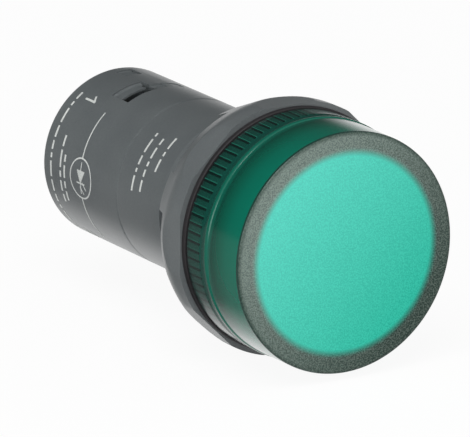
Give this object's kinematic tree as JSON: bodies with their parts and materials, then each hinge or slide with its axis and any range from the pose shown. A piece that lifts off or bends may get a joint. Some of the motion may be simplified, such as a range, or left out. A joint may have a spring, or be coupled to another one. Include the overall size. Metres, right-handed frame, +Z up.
{
  "type": "panel pilot light",
  "caption": "Round green panel pilot light with a fluted lens cap, gasket, castellated fixing nut, dark tubular body and two rear screw clamp terminals.",
  "frame": {"origin": "on the axis, in the plane where the gasket meets the panel", "axes": "+Y along the axis from the lens to the terminals, +Z up through the upper terminal, +X to the side where the wires enter"},
  "size_m": [0.0306, 0.0539, 0.0306],
  "materials": {
    "lens_green": "moulded transparent plastic with a frosted inner face",
    "diffuser_white": "opal",
    "seal_black": "satin",
    "gasket_black": "matt",
    "nut_grey": "fine satin",
    "housing_grey": "fine satin",
    "block_grey": "fine satin",
    "reflector_white": "smooth",
    "board_white": "solder mask",
    "led_case": "smooth with a yellow filling",
    "board_green": "solder mask",
    "part_black": "moulded",
    "capacitor_sleeve": "shrunk sleeve",
    "resistor_body": "lacquered",
    "contact_brass": "bright",
    "clamp_steel": "zinc plated",
    "screw_steel": "nickel plated"
  },
  "bodies": {
    "housing": {"front_housing": "housing_grey", "rear_housing": "housing_grey", "terminal_block": "block_grey", "reflector_cup": "reflector_white", "led_board": "board_white", "led_1": "led_case", "led_2": "led_case", "led_3": "led_case", "led_4": "led_case", "supply_board": "board_green", "bridge_rectifier": "part_black", "smoothing_capacitor": "capacitor_sleeve", "resistor_1": "resistor_body", "resistor_2": "resistor_body", "board_pin_1": "contact_brass", "board_pin_2": "contact_brass", "contact_bar_1": "contact_brass", "contact_bar_2": "contact_brass", "lens_seal": "seal_black", "panel_gasket": "gasket_black"},
    "lens": {"lens_cap": "lens_green", "diffuser_disc": "diffuser_white"},
    "nut": {"mounting_nut": "nut_grey"},
    "screw_1": {"terminal_screw_1": "screw_steel"},
    "screw_2": {"terminal_screw_2": "screw_steel"},
    "cage_1": {"clamp_cage_1": "clamp_steel"},
    "cage_2": {"clamp_cage_2": "clamp_steel"}
  },
  "joints": [
    {"name": "nut_travel", "type": "slide", "parent": "housing", "child": "nut", "axis": [0, 1, 0], "range_m": [0, 0.03]},
    {"name": "lens_turn", "type": "hinge", "parent": "housing", "child": "lens", "pos_m": [0, 0, 0], "axis": [0, -1, 0], "range_deg": [0, 32]},
    {"name": "screw_1_turn", "type": "hinge", "parent": "housing", "child": "screw_1", "pos_m": [0, 0.038, 0.0052], "axis": [0, -1, 0], "range_deg": [0, 1873]},
    {"name": "screw_2_turn", "type": "hinge", "parent": "housing", "child": "screw_2", "pos_m": [0, 0.038, -0.0052], "axis": [0, -1, 0], "range_deg": [0, 1873]},
    {"name": "cage_1_lift", "type": "slide", "parent": "housing", "child": "cage_1", "axis": [0, 1, 0], "range_m": [0, 0.0026]},
    {"name": "cage_2_lift", "type": "slide", "parent": "housing", "child": "cage_2", "axis": [0, 1, 0], "range_m": [0, 0.0026]}
  ],
  "couplings": [
    {"joint": "screw_1_turn", "follows": "cage_1_lift", "rad_per_m": 12566},
    {"joint": "screw_2_turn", "follows": "cage_2_lift", "rad_per_m": 12566}
  ]
}
